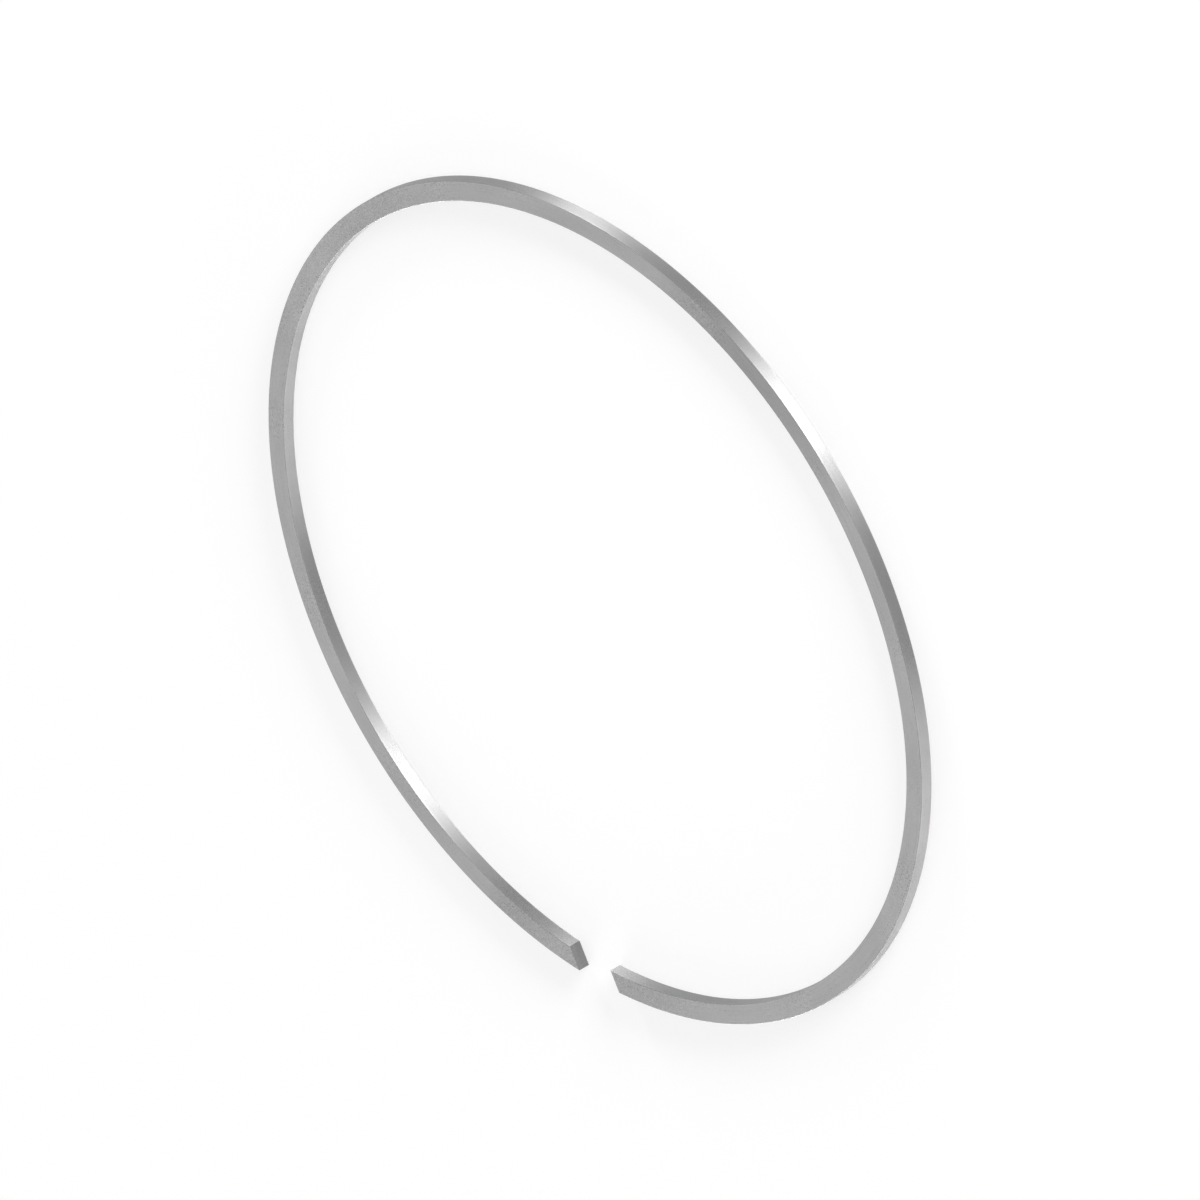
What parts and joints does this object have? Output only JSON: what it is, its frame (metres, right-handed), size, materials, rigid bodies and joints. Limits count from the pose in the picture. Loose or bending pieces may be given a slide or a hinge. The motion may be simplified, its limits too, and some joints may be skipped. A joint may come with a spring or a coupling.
{
  "type": "snap ring",
  "caption": "Slim split ring of flat spring wire that snaps into a shaft groove, with a slanted gap between its two plain ends.",
  "frame": {"origin": "on the ring's axis, in the plane of the lower face that the ring lies on", "axes": "+Z along the ring's axis, up from the face it lies on; -Y from the centre through the middle of the gap"},
  "size_m": [0.1336, 0.1335, 0.002],
  "materials": {
    "spring_steel": "bright rolled flat wire with a fine drawing grain round the ring and sheared ends"
  },
  "bodies": {
    "root": {"snap_ring": "spring_steel"}
  },
  "joints": []
}
